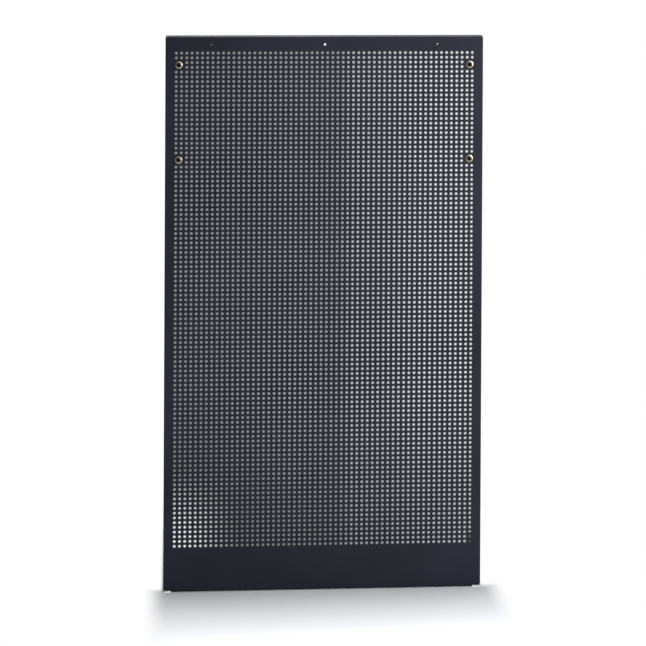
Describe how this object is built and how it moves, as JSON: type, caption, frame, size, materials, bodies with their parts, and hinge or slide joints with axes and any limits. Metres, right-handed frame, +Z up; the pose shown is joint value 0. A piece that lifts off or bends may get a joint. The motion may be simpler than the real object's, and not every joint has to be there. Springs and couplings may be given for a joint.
{
  "type": "perforated gondola back panel bay",
  "caption": "Free-standing perforated steel back panel hung by hook brackets in slotted posts, on tapered base legs with screw levellers.",
  "frame": {"origin": "on the floor, at the centre of the panel's width, in the plane of the panel's front face", "axes": "+X to the right as the shopper faces the panel, +Y to the rear, away from the shopper, +Z up"},
  "size_m": [0.673, 0.4075, 1.173],
  "materials": {
    "powder_coat": "fine-textured charcoal powder coat on sheet steel and tube",
    "yellow_zinc": "yellow passivated zinc plate",
    "black_oxide": "blackened steel",
    "zinc_steel": "bright zinc plate",
    "black_plastic": "moulded black plastic",
    "rubber": "soft black rubber"
  },
  "bodies": {
    "frame": {"left_upright": "powder_coat", "right_upright": "powder_coat", "upright_caps": "black_plastic", "top_rail": "powder_coat", "bottom_rail": "powder_coat", "left_base_leg": "powder_coat", "right_base_leg": "powder_coat", "leg_caps": "black_plastic", "leg_joint_plates": "powder_coat", "leg_bolts": "zinc_steel", "leg_weld_nuts": "zinc_steel", "rear_tie_bar": "powder_coat", "panel_bumpers": "rubber", "leveller_inserts": "zinc_steel", "leveller_lock_nuts": "zinc_steel"},
    "panel": {"perforated_panel": "powder_coat", "hook_brackets": "powder_coat", "bracket_screws": "black_oxide", "front_washers": "yellow_zinc", "rear_washers": "yellow_zinc", "bracket_nuts": "yellow_zinc"},
    "front_left_pad": {"front_left_foot_pad": "black_plastic"},
    "front_left_stud": {"front_left_levelling_stud": "zinc_steel"},
    "front_right_pad": {"front_right_foot_pad": "black_plastic"},
    "front_right_stud": {"front_right_levelling_stud": "zinc_steel"},
    "rear_left_pad": {"rear_left_foot_pad": "black_plastic"},
    "rear_left_stud": {"rear_left_levelling_stud": "zinc_steel"},
    "rear_right_pad": {"rear_right_foot_pad": "black_plastic"},
    "rear_right_stud": {"rear_right_levelling_stud": "zinc_steel"}
  },
  "joints": [
    {"name": "panel_lift", "type": "slide", "parent": "frame", "child": "panel", "axis": [0, 0, 1], "range_m": [0, 0.015]},
    {"name": "front_left_extend", "type": "slide", "parent": "frame", "child": "front_left_pad", "axis": [0, 0, -1], "range_m": [0, 0.015]},
    {"name": "front_left_spin", "type": "hinge", "parent": "front_left_pad", "child": "front_left_stud", "pos_m": [-0.329, 0.0248, 0.03], "axis": [0, 0, 1], "range_deg": [0, 5400]},
    {"name": "front_right_extend", "type": "slide", "parent": "frame", "child": "front_right_pad", "axis": [0, 0, -1], "range_m": [0, 0.015]},
    {"name": "front_right_spin", "type": "hinge", "parent": "front_right_pad", "child": "front_right_stud", "pos_m": [0.329, 0.0248, 0.03], "axis": [0, 0, 1], "range_deg": [0, 5400]},
    {"name": "rear_left_extend", "type": "slide", "parent": "frame", "child": "rear_left_pad", "axis": [0, 0, -1], "range_m": [0, 0.015]},
    {"name": "rear_left_spin", "type": "hinge", "parent": "rear_left_pad", "child": "rear_left_stud", "pos_m": [-0.329, 0.38, 0.03], "axis": [0, 0, 1], "range_deg": [0, 5400]},
    {"name": "rear_right_extend", "type": "slide", "parent": "frame", "child": "rear_right_pad", "axis": [0, 0, -1], "range_m": [0, 0.015]},
    {"name": "rear_right_spin", "type": "hinge", "parent": "rear_right_pad", "child": "rear_right_stud", "pos_m": [0.329, 0.38, 0.03], "axis": [0, 0, 1], "range_deg": [0, 5400]}
  ],
  "couplings": [
    {"joint": "front_left_spin", "follows": "front_left_extend", "rad_per_m": 6283.2},
    {"joint": "front_right_spin", "follows": "front_right_extend", "rad_per_m": 6283.2},
    {"joint": "rear_left_spin", "follows": "rear_left_extend", "rad_per_m": 6283.2},
    {"joint": "rear_right_spin", "follows": "rear_right_extend", "rad_per_m": 6283.2}
  ]
}
